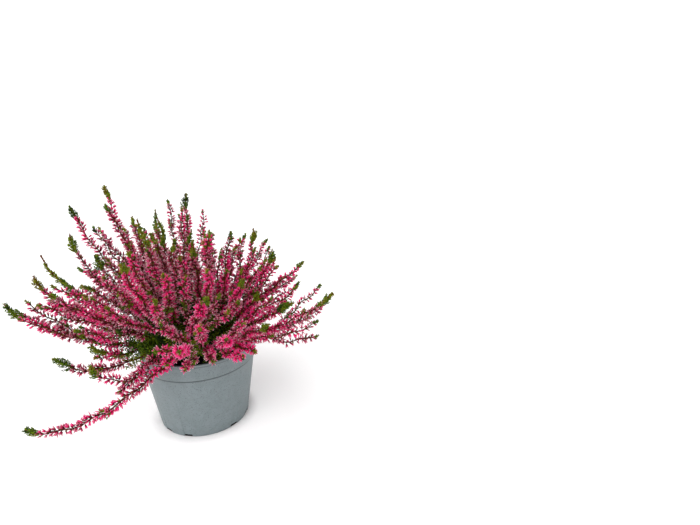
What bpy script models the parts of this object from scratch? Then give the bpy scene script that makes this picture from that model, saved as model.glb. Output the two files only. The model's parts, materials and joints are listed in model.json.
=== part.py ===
"""Potted heather: a nursery pot, its rooted compost, four rooted cuttings and their flowering shoots.

Metres, +Z up. The origin is the centre of the pot's foot, on the surface that the pot stands on.
The front of the pot faces -Y. Azimuth is counted from +X, anticlockwise seen from above.
"""

import math
import random

import bmesh
import bpy
import numpy as np
from mathutils import Matrix, Vector

# The pot: a thin plastic nursery pot with a collar under its lip.
POT_HEIGHT = 0.0905
POT_LIP_RADIUS = 0.060
POT_COLLAR_RADIUS = 0.0590
POT_COLLAR_HEIGHT = 0.0175
POT_COLLAR_STEP = 0.0012
POT_FOOT_RADIUS = 0.0466
POT_WALL = 0.0012
POT_SIDES = 36
LIP_HEIGHT = 0.0025

# The pot's floor: a flat centre and a foot ring touch the surface, with a raised channel between them.
FOOT_RING_WIDTH = 0.0036
CENTRE_RADIUS = 0.026
CHANNEL_RISE = 0.003
CHANNEL_SLOPE = 0.003

# Drain notches in the foot ring, each with a drain hole behind it, left out at two places.
NOTCH_PITCH_DEG = 30
NOTCH_FIRST_DEG = 15
NOTCH_BLANKS_DEG = (105, 285)
NOTCH_WIDTH = 0.0085
NOTCH_HEIGHT = 0.0026
DRAIN_SIDE = 0.006
DRAIN_RADIUS = 0.0355
SHARP_EDGE = math.radians(35)

# The compost, bound by the roots into one ball that fills the pot.
SOIL_TOP = 0.0800
SOIL_RINGS = 5
SOIL_LUMP = 0.0011
SOIL_BROAD_WAVE = 0.020
SOIL_FINE_WAVE = 0.012

# The gap that touching pieces keep.
SEAT_GAP = 0.0003

# Four rooted cuttings round the middle of the pot.
CUTTINGS = 4
CUTTING_CIRCLE = 0.018
FORK_HEIGHT = 0.0900
TRUNK_RADIUS = 0.0026
TRUNK_SIDES = 8
TRUNK_DEPTH = 0.016
FORK_KNOB_RADIUS = 0.0042
LIMB_LENGTH = 0.028
LIMB_ROOT_RADIUS = 0.0019
LIMB_END_RADIUS = 0.0011
LIMB_SIDES = 4
LIMB_STEPS = 2

# A shoot's stretches, measured along its stem from the fork.
FLOWERS_FROM = 0.050
GREEN_TIP = 0.018
LEAFY_PITCH = 0.0062
FLOWER_PITCH = 0.0056
TIP_PITCH = 0.0048
RING_TWIST = math.radians(50)

# What stands out of the stem: how far a leaf or floret reaches, and how far it leans to the tip.
STEM_RADIUS = 0.0011
SPIKE_RADIUS = 0.0018
TIP_RADIUS = 0.0017
LEAF_REACH = 0.0030
LEAF_LEAN = 0.0022
FLORET_REACH = 0.0052
FLORET_LEAN = 0.0016
TIP_REACH = 0.0026
TIP_LEAN = 0.0022
TIP_TAPER = 0.6
REACH_SPREAD = (0.85, 1.1)
BARK_FACE, LEAF_FACE, FLORET_FACE = 0, 1, 2

# Shoots that reach out of the bush, by eye from the photograph: the cutting that bears it, azimuth
# and sway, rise at the foot, half way and at the tip, all in degrees, and the length.
REACHING = (
    (2, 205, -10, 12, 26, 50, 0.165),
    (3, 255, -90, 36, -25, 14, 0.200),
    (2, 236, -40, 30, 0, 60, 0.128),
    (2, 256, -25, 34, -2, -25, 0.098),
    (2, 216, -10, 44, 0, 70, 0.094),
    (2, 195, 0, 26, 32, 75, 0.155),
    (2, 200, -16, 38, 40, 68, 0.158),
    (2, 208, -5, 48, 58, 70, 0.130),
    (1, 184, -5, 24, 48, 80, 0.158),
    (1, 165, 0, 36, 50, 72, 0.178),
    (1, 143, 5, 55, 52, 88, 0.182),
    (1, 118, -5, 30, 56, 90, 0.150),
    (1, 92, -5, 47, 58, 88, 0.160),
    (0, 38, -5, 30, 60, 84, 0.125),
    (0, 5, -5, 28, 52, 74, 0.116),
    (3, -25, 0, 34, 28, 40, 0.112),
    (3, -50, 0, 28, 26, 35, 0.116),
    (3, -14, 0, 14, 20, 56, 0.148),
    (3, 275, 10, 34, 14, 10, 0.092),
    (3, 302, 8, 36, 12, 8, 0.092),
    (2, 268, 6, 40, 12, 10, 0.086),
)

# The rest fill the bush by a seeded draw. The last ones are shorter and close the gaps further in.
FILL_SEED = 11
SHOOTS = 54
INNER_SHOOTS = 8
FILL_CHOICES = 60
FILL_RISE_DEG = (18, 86)
FILL_LENGTH = (0.110, 0.152)
INNER_LENGTH = (0.088, 0.118)
FILL_LEAN = 0.14
FILL_QUARTER = (-0.25, 1.25)
FILL_SWAY_DEG = 10
FILL_BEND = 0.35
TWIGS_PER_CUTTING = 4
TWIG_LENGTH = 0.040
TWIG_RISE_DEG = (8, 60)
TWIG_BEND_DEG = 10
TWIG_TRIES = 400
PATH_STEPS = 48

# Room that a shoot keeps round its stem, so that no stem crosses another, the rim or the floor.
# A floret or leaf stops short where its end would be nearer to another stem than to its own.
BARE_ROOM = 0.0021
LEAFY_ROOM = 0.0026
SPIKE_ROOM = 0.0040
RIM_ROOM = 0.0012
CELL_GAP = 0.0007
LEAST_REACH = 0.0006
SHORTEN = 0.85
FORKED_SHARE = 0.8

BARK = ("bark", (0.16, 0.085, 0.05), 0.8)
LEAF = ("leaf", (0.10, 0.17, 0.03), 0.6)
FLORET = ("floret", (0.60, 0.05, 0.19), 0.6)
PLASTIC = ("pot_plastic", (0.24, 0.29, 0.31), 0.5)
COMPOST = ("compost", (0.022, 0.014, 0.010), 0.95)


def clear_scene():
    """Remove what the startup file holds."""
    for found in list(bpy.data.objects):
        bpy.data.objects.remove(found)


def material(look):
    """The Principled material of that name, made on first use."""
    name, colour, roughness = look
    made = bpy.data.materials.get(name)
    if made is None:
        made = bpy.data.materials.new(name)
        made.use_nodes = True
        shader = made.node_tree.nodes["Principled BSDF"]
        shader.inputs["Base Color"].default_value = (*colour, 1)
        shader.inputs["Roughness"].default_value = roughness
        shader.inputs["Metallic"].default_value = 0
        made.diffuse_color = (*colour, 1)
    return made


def node_from(name, bm, *looks):
    """Turn a bmesh into a named object with its materials."""
    mesh = bpy.data.meshes.new(name)
    bm.to_mesh(mesh)
    bm.free()
    for look in looks:
        mesh.materials.append(material(look))
    made = bpy.data.objects.new(name, mesh)
    bpy.context.scene.collection.objects.link(made)
    return made


def turned(profile, sides):
    """Spin a profile of (radius, height) points, from axis to axis, into a closed body."""
    bm = bmesh.new()
    points = [bm.verts.new((radius, 0, height)) for radius, height in profile]
    edges = [bm.edges.new(pair) for pair in zip(points, points[1:])]
    bmesh.ops.spin(
        bm,
        geom=points + edges,
        cent=(0, 0, 0),
        axis=(0, 0, 1),
        angle=math.tau,
        steps=sides,
        use_merge=True,
    )
    bmesh.ops.remove_doubles(bm, verts=bm.verts, dist=1e-6)
    bmesh.ops.recalc_face_normals(bm, faces=bm.faces)
    return bm


def apply_boolean(target, cutters, operation):
    """Join or cut the target with every cutter at once, then remove the cutters."""
    group = bpy.data.collections.new("operands")
    for cutter in cutters:
        bpy.context.scene.collection.objects.unlink(cutter)
        group.objects.link(cutter)
    bpy.context.scene.collection.children.link(group)
    modifier = target.modifiers.new("join", "BOOLEAN")
    modifier.operation = operation
    modifier.operand_type = "COLLECTION"
    modifier.collection = group
    modifier.solver = "EXACT"
    graph = bpy.context.evaluated_depsgraph_get()
    result = bpy.data.meshes.new_from_object(target.evaluated_get(graph))
    target.modifiers.clear()
    target.data = result
    for cutter in cutters:
        bpy.data.objects.remove(cutter)
    bpy.data.collections.remove(group)


def box(name, size, place, azimuth):
    """A box cutter, its X side pointing outwards at that azimuth."""
    bm = bmesh.new()
    turn = Matrix.Rotation(azimuth, 4, "Z")
    shape = turn @ Matrix.Translation(place) @ Matrix.Diagonal((*size, 1))
    bmesh.ops.create_cube(bm, size=1, matrix=shape)
    return node_from(name, bm)


def post(name, place, radius, bottom, top, *looks):
    """An upright round post between two heights."""
    bm = bmesh.new()
    middle = Matrix.Translation((place[0], place[1], (bottom + top) / 2))
    bmesh.ops.create_cone(
        bm,
        cap_ends=True,
        segments=TRUNK_SIDES,
        radius1=radius,
        radius2=radius,
        depth=top - bottom,
        matrix=middle,
    )
    return node_from(name, bm, *looks)


def wall_radius(height):
    """Outer radius of the pot's wall below its collar."""
    share = height / (POT_HEIGHT - POT_COLLAR_HEIGHT)
    top = POT_COLLAR_RADIUS - POT_COLLAR_STEP
    return POT_FOOT_RADIUS + share * (top - POT_FOOT_RADIUS)


def pot():
    """The pot: one turned shell, with notches through its foot ring and drain holes over them."""
    collar = POT_HEIGHT - POT_COLLAR_HEIGHT
    floor = CHANNEL_RISE + POT_WALL
    ring = POT_FOOT_RADIUS - FOOT_RING_WIDTH
    profile = [
        (0, 0),
        (CENTRE_RADIUS, 0),
        (CENTRE_RADIUS + CHANNEL_SLOPE, CHANNEL_RISE),
        (ring - CHANNEL_SLOPE / 2, CHANNEL_RISE),
        (ring, 0),
        (POT_FOOT_RADIUS, 0),
        (wall_radius(collar), collar),
        (POT_COLLAR_RADIUS, collar),
        (POT_COLLAR_RADIUS, POT_HEIGHT - LIP_HEIGHT),
        (POT_LIP_RADIUS, POT_HEIGHT - LIP_HEIGHT / 2),
        (POT_LIP_RADIUS, POT_HEIGHT),
        (POT_COLLAR_RADIUS - POT_WALL, POT_HEIGHT),
        (wall_radius(collar) - POT_WALL, collar),
        (wall_radius(floor) - POT_WALL, floor),
        (CENTRE_RADIUS + CHANNEL_SLOPE, floor),
        (CENTRE_RADIUS, POT_WALL),
        (0, POT_WALL),
    ]
    shell = node_from("pot", turned(profile, POT_SIDES), PLASTIC)
    cutters = []
    for azimuth in range(NOTCH_FIRST_DEG, 360, NOTCH_PITCH_DEG):
        if azimuth in NOTCH_BLANKS_DEG:
            continue
        turn = math.radians(azimuth)
        notch = (3 * FOOT_RING_WIDTH, NOTCH_WIDTH, 2 * NOTCH_HEIGHT)
        drain = (DRAIN_SIDE, DRAIN_SIDE, 4 * POT_WALL)
        cutters.append(box("notch", notch, (POT_FOOT_RADIUS, 0, 0), turn))
        cutters.append(box("drain", drain, (DRAIN_RADIUS, 0, floor - POT_WALL / 2), turn))
    apply_boolean(shell, cutters, "DIFFERENCE")
    shell.data.shade_smooth()
    shell.data.set_sharp_from_angle(angle=SHARP_EDGE)
    return shell


def soil_lumps(x, y):
    """Height of the compost's uneven top over its mean level."""
    broad = math.sin(math.tau * x / SOIL_BROAD_WAVE + 1) * math.cos(math.tau * y / SOIL_BROAD_WAVE)
    fine = math.sin(math.tau * (x / 2 + y) / SOIL_FINE_WAVE)
    return SOIL_LUMP * (broad + fine / 2)


def root_ball(cuttings):
    """The compost: it follows the pot's inside with a small gap and has a plain hole for each trunk."""
    floor = CHANNEL_RISE + POT_WALL + SEAT_GAP
    collar = POT_HEIGHT - POT_COLLAR_HEIGHT
    inset = POT_WALL + SEAT_GAP
    edge = wall_radius(collar) - inset
    profile = [
        (0, POT_WALL + SEAT_GAP),
        (CENTRE_RADIUS - SEAT_GAP, POT_WALL + SEAT_GAP),
        (CENTRE_RADIUS + CHANNEL_SLOPE - SEAT_GAP, floor),
        (wall_radius(floor) - inset, floor),
        (edge, collar),
    ]
    profile += [(edge * (1 - ring / SOIL_RINGS), SOIL_TOP) for ring in range(SOIL_RINGS + 1)]
    bm = turned(profile, POT_SIDES)
    for corner in bm.verts:
        if corner.co.z > SOIL_TOP - SEAT_GAP:
            corner.co.z += soil_lumps(corner.co.x, corner.co.y)
    ball = node_from("root_ball", bm, COMPOST)
    bottom = SOIL_TOP - TRUNK_DEPTH
    holes = [post("hole", place, TRUNK_RADIUS + SEAT_GAP, bottom, FORK_HEIGHT) for place in cuttings]
    apply_boolean(ball, holes, "DIFFERENCE")
    return ball


def fork_place(cutting):
    """Where a cutting's trunk forks into its limbs."""
    turn = math.tau * (cutting + 0.5) / CUTTINGS
    return np.array([CUTTING_CIRCLE * math.cos(turn), CUTTING_CIRCLE * math.sin(turn), FORK_HEIGHT])


def shoot(cutting, azimuth, sway, rises, length):
    """A shoot's line: its rise passes through three values, at its foot, half way and at its tip."""
    share = (np.arange(PATH_STEPS) + 0.5) / PATH_STEPS
    foot, middle, tip = rises
    rise = foot * (1 - share) * (1 - 2 * share) + 4 * middle * share * (1 - share)
    rise = np.radians(rise + tip * share * (2 * share - 1))
    turn = np.radians(azimuth + sway * share)
    step = np.stack([np.cos(rise) * np.cos(turn), np.cos(rise) * np.sin(turn), np.sin(rise)], axis=1)
    line = np.vstack([np.zeros(3), np.cumsum(step, axis=0) * length / PATH_STEPS])
    return {"cutting": cutting, "line": fork_place(cutting) + line, "length": length, "turn": turn}


def along(plan):
    """Distance from the fork of each point of a shoot's line."""
    return np.linspace(0, plan["length"], PATH_STEPS + 1)


def room_of(plan):
    """The room that each point of a shoot's line keeps round it."""
    distance = along(plan)
    room = np.where(distance < LIMB_LENGTH, BARE_ROOM, LEAFY_ROOM)
    return np.where((distance > FLOWERS_FROM) & (distance < plan["length"] - GREEN_TIP), SPIKE_ROOM, room)


def clear_of_pot(plan):
    """Whether a shoot keeps above the rim or outside it, and above the floor."""
    line = plan["line"]
    reach = np.where(along(plan) > FLOWERS_FROM, FLORET_REACH + SPIKE_RADIUS / 2, LEAF_REACH) + RIM_ROOM
    out = np.hypot(line[:, 0], line[:, 1])
    above = line[:, 2] - reach > POT_HEIGHT
    inside = out + reach < POT_COLLAR_RADIUS - POT_WALL
    outside = out - reach > POT_LIP_RADIUS
    return bool(np.all(above | inside | outside) and np.all(line[:, 2] > reach))


def clear_of_shoots(plan, others):
    """Whether a shoot keeps clear of every other one; limbs of one cutting meet at its fork."""
    forked = LIMB_LENGTH * FORKED_SHARE
    for other in others:
        apart = np.linalg.norm(plan["line"][:, None] - other["line"][None], axis=2)
        need = room_of(plan)[:, None] + room_of(other)[None]
        if other["cutting"] == plan["cutting"]:
            need = np.where((along(plan) < forked)[:, None] & (along(other) < forked)[None], 0, need)
        if np.any(apart < need):
            return False
    return True


def draw_shoot(draw, cutting, lengths):
    """A shoot in the cutting's own quarter, rising more steeply towards its tip."""
    azimuth = 360 / CUTTINGS * (cutting + draw.uniform(*FILL_QUARTER))
    low, high = (math.sin(math.radians(end)) for end in FILL_RISE_DEG)
    foot = math.degrees(math.asin(draw.uniform(low, high)))
    sway = draw.uniform(-FILL_SWAY_DEG, FILL_SWAY_DEG)
    tip = foot + (90 - foot) * FILL_BEND * draw.random()
    length = draw.uniform(*lengths) * (1 - FILL_LEAN * math.cos(math.radians(azimuth)))
    return shoot(cutting, azimuth, sway, (foot, (foot + tip) / 2, tip), length)


def plan_shoots():
    """Every flowering shoot: the reaching ones, then fillers, each where the bush is emptiest."""
    draw = random.Random(FILL_SEED)
    plans = [shoot(row[0], row[1], row[2], row[3:6], row[6]) for row in REACHING]
    for number in range(SHOOTS - len(plans)):
        best, room = None, 0
        inner = len(REACHING) + number >= SHOOTS - INNER_SHOOTS
        for _ in range(FILL_CHOICES):
            plan = draw_shoot(draw, number % CUTTINGS, INNER_LENGTH if inner else FILL_LENGTH)
            ends = [np.linalg.norm(plan["line"][-1] - other["line"][-1]) for other in plans]
            if min(ends) > room and clear_of_pot(plan) and clear_of_shoots(plan, plans):
                best, room = plan, min(ends)
        if best is not None:
            plans.append(best)
    return plans


def plan_twigs(plans):
    """Short leafy twigs low on each cutting, where they fit between the flowering shoots."""
    draw = random.Random(FILL_SEED + 1)
    twigs = []
    for _ in range(TWIG_TRIES):
        cutting = draw.randrange(CUTTINGS)
        foot = draw.uniform(*TWIG_RISE_DEG)
        azimuth = 360 / CUTTINGS * (cutting + draw.random())
        twig = shoot(cutting, azimuth, 0, (foot, foot, foot + TWIG_BEND_DEG), TWIG_LENGTH)
        same = sum(other["cutting"] == cutting for other in twigs)
        if same < TWIGS_PER_CUTTING and clear_of_pot(twig) and clear_of_shoots(twig, plans + twigs):
            twigs.append(twig)
    return twigs


def point_on(plan, distance):
    """(place, direction) at that distance along a shoot's line."""
    step = plan["length"] / PATH_STEPS
    place, ahead, behind = (
        Vector([np.interp(spot, along(plan), plan["line"][:, axis]) for axis in range(3)])
        for spot in (distance, distance + step, distance - step)
    )
    return place, (ahead - behind).normalized()


def ring_round(bm, plan, distance, radius, sides, twist):
    """A ring of vertices round a shoot's line."""
    place, direction = point_on(plan, distance)
    heading = np.interp(distance, along(plan)[1:], plan["turn"])
    side = Vector((-math.sin(heading), math.cos(heading), 0))
    other = direction.cross(side).normalized()
    ring = []
    for corner in range(sides):
        turn = math.tau * corner / sides + twist
        ring.append(bm.verts.new(place + radius * (side * math.cos(turn) + other * math.sin(turn))))
    return ring


def limb(bm, plan):
    """The bare tapered foot of a shoot, from the fork to where its spray begins."""
    rings = []
    for step in range(LIMB_STEPS + 1):
        share = step / LIMB_STEPS
        radius = LIMB_ROOT_RADIUS + share * (LIMB_END_RADIUS - LIMB_ROOT_RADIUS)
        rings.append(ring_round(bm, plan, share * LIMB_LENGTH, radius, LIMB_SIDES, 0))
    for low, high in zip(rings, rings[1:]):
        for corner in range(LIMB_SIDES):
            after = (corner + 1) % LIMB_SIDES
            bm.faces.new((low[corner], low[after], high[after], high[corner]))
    bm.faces.new(reversed(rings[0]))
    bm.faces.new(rings[-1])


def stretches(plan, start, flowering):
    """The rings of a leafy or flowering shoot: (distance, radius, reach, lean, face) to the tip."""
    rings = []
    distance = start
    green_from = plan["length"] - GREEN_TIP if flowering else plan["length"]
    while distance < plan["length"] - TIP_PITCH / 2:
        if flowering and FLOWERS_FROM <= distance < green_from:
            rings.append((distance, SPIKE_RADIUS, FLORET_REACH, FLORET_LEAN, FLORET_FACE))
            distance += FLOWER_PITCH
        elif distance < green_from:
            rings.append((distance, STEM_RADIUS, LEAF_REACH, LEAF_LEAN, LEAF_FACE))
            distance += LEAFY_PITCH
        else:
            taper = 1 - TIP_TAPER * (distance - green_from) / GREEN_TIP
            rings.append((distance, TIP_RADIUS * taper, TIP_REACH * taper, TIP_LEAN, LEAF_FACE))
            distance += TIP_PITCH
    return rings


def pushed_out(spot, outwards, lean, reach, plan, others):
    """The end of a leaf or floret, stopped short of the middle between its own stem and another."""
    while reach > LEAST_REACH:
        end = spot + outwards * reach + lean
        own = np.linalg.norm(plan["line"] - np.array(end), axis=1).min()
        if np.linalg.norm(others - np.array(end), axis=1).min() > own + CELL_GAP:
            return end
        reach *= SHORTEN
    return None


def leafy_stem(bm, plan, start, flowering, others, draw):
    """A three-sided stem, its faces drawn out into leaves and florets that lean to the tip.

    A face between two rings is poked, and its middle moved outwards and along the stem. Where
    another stem leaves no room for that, the face stays plain bark.
    """
    rings = stretches(plan, start, flowering)
    corners = [
        ring_round(bm, plan, distance, radius, 3, step * RING_TWIST)
        for step, (distance, radius, _, _, _) in enumerate(rings)
    ]
    bm.faces.new(reversed(corners[0]))
    point = bm.verts.new(point_on(plan, plan["length"])[0])
    for corner in range(3):
        face = bm.faces.new((corners[-1][corner], corners[-1][(corner + 1) % 3], point))
        face.material_index = LEAF_FACE
    for step, (distance, _, reach, lean, look) in enumerate(rings[:-1]):
        middle, direction = point_on(plan, (distance + rings[step + 1][0]) / 2)
        low, high = corners[step], corners[step + 1]
        for corner in range(3):
            after = (corner + 1) % 3
            quad = (low[corner], low[after], high[after], high[corner])
            spot = sum((vertex.co for vertex in quad), Vector()) / 4
            outwards = (spot - middle).normalized()
            reach_here = reach * draw.uniform(*REACH_SPREAD)
            end = pushed_out(spot, outwards, direction * lean, reach_here, plan, others)
            if end is None:
                faces = [bm.faces.new(quad[:3]), bm.faces.new((quad[0], quad[2], quad[3]))]
            else:
                tip = bm.verts.new(end)
                faces = [bm.faces.new((quad[side], quad[(side + 1) % 4], tip)) for side in range(4)]
            for face in faces:
                face.material_index = BARK_FACE if end is None else look


def lines_but(plan, plans):
    """The points of every shoot's line but this one's."""
    return np.vstack([other["line"] for other in plans if other is not plan])


def spray(number, plan, plans):
    """One flowering shoot, from the end of its limb to its green tip."""
    bm = bmesh.new()
    start = LIMB_LENGTH + SEAT_GAP
    leafy_stem(bm, plan, start, True, lines_but(plan, plans), random.Random(number))
    return node_from(f"spray_{number:02d}", bm, BARK, LEAF, FLORET)


def cutting_head(number, plans, twigs):
    """One rooted cutting: a trunk in the compost, a forked head, a limb under each shoot, leafy twigs."""
    place = fork_place(number)
    foot = SOIL_TOP - TRUNK_DEPTH + SEAT_GAP
    trunk = post(f"cutting_{number + 1}", place, TRUNK_RADIUS, foot, FORK_HEIGHT, BARK, LEAF)
    bm = bmesh.new()
    knob = Matrix.Translation(place)
    bmesh.ops.create_icosphere(bm, subdivisions=1, radius=FORK_KNOB_RADIUS, matrix=knob)
    parts = [node_from("knob", bm, BARK)]
    for plan in plans:
        if plan["cutting"] == number:
            bm = bmesh.new()
            limb(bm, plan)
            parts.append(node_from("limb", bm, BARK))
    for order, twig in enumerate(twigs):
        if twig["cutting"] == number:
            bm = bmesh.new()
            others = lines_but(twig, plans + twigs)
            leafy_stem(bm, twig, FORK_KNOB_RADIUS / 2, False, others, random.Random(order))
            parts.append(node_from("twig", bm, BARK, LEAF))
    apply_boolean(trunk, parts, "UNION")
    return trunk


def main():
    """Build the pot, its compost, the four cuttings and their sprays."""
    clear_scene()
    plans = plan_shoots()
    twigs = plan_twigs(plans)
    pot()
    root_ball([fork_place(number) for number in range(CUTTINGS)])
    for number in range(CUTTINGS):
        cutting_head(number, plans, twigs)
    for number, plan in enumerate(plans, start=1):
        spray(number, plan, plans + twigs)
    print(len(plans), "sprays,", len(twigs), "leafy twigs")


if __name__ == "__main__":
    main()
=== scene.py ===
# %% [markdown]
# # A potted heather
# This lesson gives a solid model of a flowering heather in a nursery pot its real surfaces. The solids hold
# the main shapes: the pot, the compost, four rooted cuttings and the shoots on them. Each piece made here
# stands in the place of some of those solids. Lengths are in metres, and the pot stands on z = 0.

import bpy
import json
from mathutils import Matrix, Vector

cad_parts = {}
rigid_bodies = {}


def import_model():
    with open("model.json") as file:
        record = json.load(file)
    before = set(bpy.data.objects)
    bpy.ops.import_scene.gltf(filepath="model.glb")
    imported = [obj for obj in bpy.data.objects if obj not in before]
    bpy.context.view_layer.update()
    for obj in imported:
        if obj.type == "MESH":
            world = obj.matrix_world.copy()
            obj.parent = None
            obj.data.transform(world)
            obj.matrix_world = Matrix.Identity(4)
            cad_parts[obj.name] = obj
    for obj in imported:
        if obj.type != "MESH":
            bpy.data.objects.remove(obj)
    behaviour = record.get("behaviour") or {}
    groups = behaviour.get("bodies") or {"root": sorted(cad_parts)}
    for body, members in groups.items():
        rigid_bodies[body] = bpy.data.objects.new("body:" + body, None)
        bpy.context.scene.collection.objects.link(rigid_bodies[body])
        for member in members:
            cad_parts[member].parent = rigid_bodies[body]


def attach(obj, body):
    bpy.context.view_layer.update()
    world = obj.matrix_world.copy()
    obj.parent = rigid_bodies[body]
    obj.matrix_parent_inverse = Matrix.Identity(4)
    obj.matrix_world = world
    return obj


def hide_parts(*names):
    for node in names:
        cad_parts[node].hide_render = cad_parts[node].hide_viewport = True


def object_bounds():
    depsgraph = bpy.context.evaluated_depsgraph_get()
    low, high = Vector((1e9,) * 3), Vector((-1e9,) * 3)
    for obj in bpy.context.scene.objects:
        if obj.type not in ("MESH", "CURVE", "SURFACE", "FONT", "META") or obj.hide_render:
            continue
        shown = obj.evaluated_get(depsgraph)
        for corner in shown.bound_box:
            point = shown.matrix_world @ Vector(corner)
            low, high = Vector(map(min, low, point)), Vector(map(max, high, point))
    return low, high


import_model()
solid_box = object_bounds()
print("solid model from", tuple(solid_box[0]), "to", tuple(solid_box[1]))

# %% Tools of this lesson
import json
import math
import random

import bpy
import numpy as np

# %% [markdown]
# ## The camera
# A product picture of a plant is taken from a little above, so that the pot's side and the top of the
# flowers both show. Place, tilt and lens were worked out from the ellipses of the pot's rim and foot.

# %% Camera
CAMERA_PLACE = (0.0903, -0.4981, 0.3433)
CAMERA_TURN = math.radians(8.314)
CAMERA_DIP = math.radians(19.392)


def placed(name, data):
    """A new object with that data in the scene."""
    thing = bpy.data.objects.new(name, data)
    bpy.context.scene.collection.objects.link(thing)
    return thing


lens = bpy.data.cameras.new("camera")
lens.lens = 26
lens.sensor_width = 36
lens.clip_start = 0.01
camera = placed("camera", lens)
camera.location = CAMERA_PLACE
camera.rotation_euler = (math.pi / 2 - CAMERA_DIP, 0, -CAMERA_TURN)
bpy.context.scene.camera = camera
bpy.context.scene.view_settings.view_transform = "Standard"
print("camera looks", round(math.degrees(CAMERA_DIP), 1), "degrees down")

# %% [markdown]
# ## From numbers to meshes
# Each surface is worked out as whole arrays of points, which foreach_set copies straight into Blender's own
# memory. A mark is one more number for every point, such as how far along a petal it lies, and a material
# paints by it. Nearly every shape here is a closed body of rings with a pole at each end, so one function
# gives the triangles of them all.

# %% Mesh from arrays
def piece_of(name, surface, finish, nodes):
    """An object at the origin from a surface: points (N x 3), triangles (M x 3) and marks by name."""
    points, faces = surface["points"], surface["faces"]
    mesh = bpy.data.meshes.new(name)
    mesh.vertices.add(len(points))
    mesh.vertices.foreach_set("co", points.astype(np.float32).ravel())
    mesh.loops.add(faces.size)
    mesh.loops.foreach_set("vertex_index", faces.astype(np.int32).ravel())
    mesh.polygons.add(len(faces))
    mesh.polygons.foreach_set("loop_start", np.arange(0, faces.size, 3, dtype=np.int32))
    mesh.update(calc_edges=True)
    mesh.polygons.foreach_set("use_smooth", np.ones(len(faces), bool))
    for label in surface:
        if label not in ("points", "faces"):
            layer = mesh.attributes.new(label, "FLOAT", "POINT")
            layer.data.foreach_set("value", surface[label].astype(np.float32).ravel())
    mesh.materials.append(finish)
    piece = placed(name, mesh)
    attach(piece, "root")
    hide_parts(*nodes)
    print(f"{name}: {len(faces)} triangles")
    return piece


def joined(surfaces):
    """Several surfaces as one: the points follow each other, and each one's faces count on from the last."""
    counts = np.cumsum([0] + [len(surface["points"]) for surface in surfaces])
    whole = {label: np.concatenate([surface[label] for surface in surfaces]) for label in surfaces[0]}
    faces = [surface["faces"] + first for surface, first in zip(surfaces, counts)]
    whole["faces"] = np.concatenate(faces)
    return whole


def skin(rings, sides):
    """Triangles over a closed body whose points run pole, rings, pole, all facing out."""
    here, after = np.arange(sides), (np.arange(sides) + 1) % sides
    first = 1 + sides * np.arange(rings - 1)[:, None]
    low, low_on = first + here, first + after
    halves = [np.stack([low, low_on, low_on + sides], -1), np.stack([low, low_on + sides, low + sides], -1)]
    foot = np.stack([here * 0, 1 + after, 1 + here], -1)
    last = 1 + sides * (rings - 1)
    head = np.stack([last + here, last + after, here * 0 + last + sides], -1)
    return np.concatenate([foot, *(half.reshape(-1, 3) for half in halves), head])


def unit(vectors):
    """Vectors over their own length."""
    return vectors / np.linalg.norm(vectors, axis=-1, keepdims=True)


def round_axis(radius, turns, height):
    """Points round the upright axis: x = r cos a, y = r sin a, z = height, for each turn a."""
    return np.stack([radius * np.cos(turns), radius * np.sin(turns), height + 0 * turns], axis=-1)


def spun(points, turns):
    """Points turned about the upright axis: (x cos a - y sin a, x sin a + y cos a, z)."""
    x, y, z = np.moveaxis(points, -1, 0)
    cos, sin = np.cos(turns), np.sin(turns)
    return np.stack([x * cos - y * sin, x * sin + y * cos, z + 0 * turns], axis=-1)


# %% [markdown]
# ## From patterns to materials
# A material is a small network of nodes. These helpers add one node at a time and join or fill its inputs.
# Colours are given as a screen shows them and turned into the linear numbers that Blender counts with.

# %% Material helpers
def new_finish(name, rough, **sockets):
    """A material, its node tree and its Principled shader, with the constant sockets set on the shader."""
    finish = bpy.data.materials.new(name)
    finish.use_nodes = True
    shader = finish.node_tree.nodes["Principled BSDF"]
    shader.inputs["Roughness"].default_value = rough
    for socket, value in sockets.items():
        shader.inputs[socket.replace("_", " ")].default_value = value
    return finish, finish.node_tree, shader


def add(tree, kind, inputs=(), **settings):
    """One node of that kind, with its settings made and its inputs joined to sockets or filled."""
    node = tree.nodes.new("ShaderNode" + kind)
    for name, value in settings.items():
        setattr(node, name, value)
    for name, value in dict(inputs).items():
        if isinstance(value, bpy.types.NodeSocket):
            tree.links.new(value, node.inputs[name])
        else:
            node.inputs[name].default_value = value
    return node


def screen(red, green, blue):
    """A screen colour in linear numbers: each is (c / 255) ** 2.2, near enough to the screen's own curve."""
    return tuple((value / 255) ** 2.2 for value in (red, green, blue)) + (1,)


def mark(tree, name):
    """The mark of that name on the mesh, as one number."""
    return add(tree, "Attribute", attribute_name=name).outputs["Fac"]


def ramp(tree, value, *stops):
    """Colours along a number: each stop is (place, red, green, blue) in screen colours."""
    node = add(tree, "ValToRGB", {"Fac": value})
    band = node.color_ramp.elements
    while len(band) < len(stops):
        band.new(0.5)
    for stop, (place, *colour) in zip(band, stops):
        stop.position = place
        stop.color = screen(*colour)
    return node.outputs["Color"]


def mixed(tree, share, low, high, mode="MIX"):
    """Two colours mixed: low where share is 0 and high where it is 1."""
    colours = {0: share, 6: low, 7: high}
    return add(tree, "Mix", colours, data_type="RGBA", blend_type=mode).outputs[2]


def spread_over(tree, value, low, high, to_low=0, to_high=1):
    """A number that lies between low and high, spread over to_low to to_high and kept inside it."""
    ends = {"From Min": low, "From Max": high, "To Min": to_low, "To Max": to_high}
    return add(tree, "MapRange", {"Value": value, **ends}).outputs["Result"]


def combined(tree, one, other, operation="MULTIPLY"):
    """Two numbers multiplied, or added where the operation is ADD."""
    return add(tree, "Math", {0: one, 1: other}, operation=operation).outputs[0]


def place_of(tree):
    """The place on the object, in metres from the pot's centre on the floor."""
    return add(tree, "TexCoord").outputs["Object"]


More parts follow.
